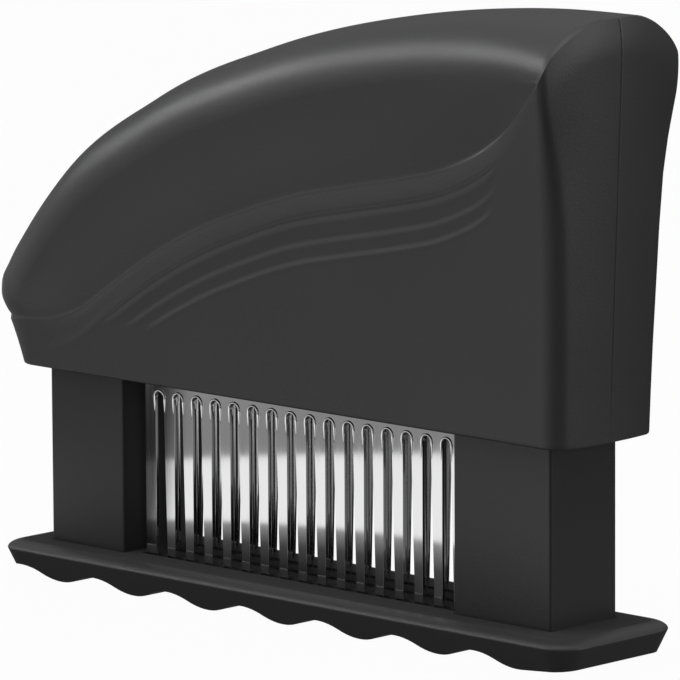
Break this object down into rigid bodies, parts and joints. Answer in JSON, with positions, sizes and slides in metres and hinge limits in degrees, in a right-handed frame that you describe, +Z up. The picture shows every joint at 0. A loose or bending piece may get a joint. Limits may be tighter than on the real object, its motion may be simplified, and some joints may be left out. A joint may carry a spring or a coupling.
{
  "type": "blade meat tenderizer",
  "caption": "Hand-held meat tenderizer: scooped plastic handle over rows of steel blade tines, with a sprung foot plate on hollow columns.",
  "frame": {"origin": "middle of the overall length, in the plane of the handle's seam, on the plane that the foot plate stands on", "axes": "+X along the foot plate towards the tall flared end of the handle, +Y across towards the back shell, +Z up, away from the meat"},
  "size_m": [0.1654, 0.0384, 0.1258],
  "materials": {
    "handle_plastic": "fine satin moulded texture",
    "foot_plastic": "glossy moulded",
    "column_plastic": "satin moulded",
    "spacer_plastic": "plain moulded",
    "blade_steel": "polished stainless sheet",
    "pin_steel": "plain turned",
    "spring_steel": "drawn wire",
    "screw_steel": "plain"
  },
  "bodies": {
    "handle": {"handle_front_shell": "handle_plastic", "handle_back_shell": "handle_plastic", "blade_comb_front": "blade_steel", "blade_comb_middle": "blade_steel", "blade_comb_rear": "blade_steel", "comb_spacer_front": "spacer_plastic", "comb_spacer_rear": "spacer_plastic", "comb_pins": "pin_steel", "spring_left": "spring_steel", "spring_right": "spring_steel", "spring_guide_left": "pin_steel", "spring_guide_right": "pin_steel", "shell_screws": "screw_steel"},
    "foot": {"foot_plate": "foot_plastic", "left_column": "column_plastic", "right_column": "column_plastic", "column_screws": "screw_steel"}
  },
  "joints": [
    {"name": "foot_slide", "type": "slide", "parent": "handle", "child": "foot", "axis": [0, 0, 1], "range_m": [0, 0.025], "stiffness_N_per_m": 800, "springref_m": -0.02, "deforming": ["spring_left", "spring_right"]}
  ]
}
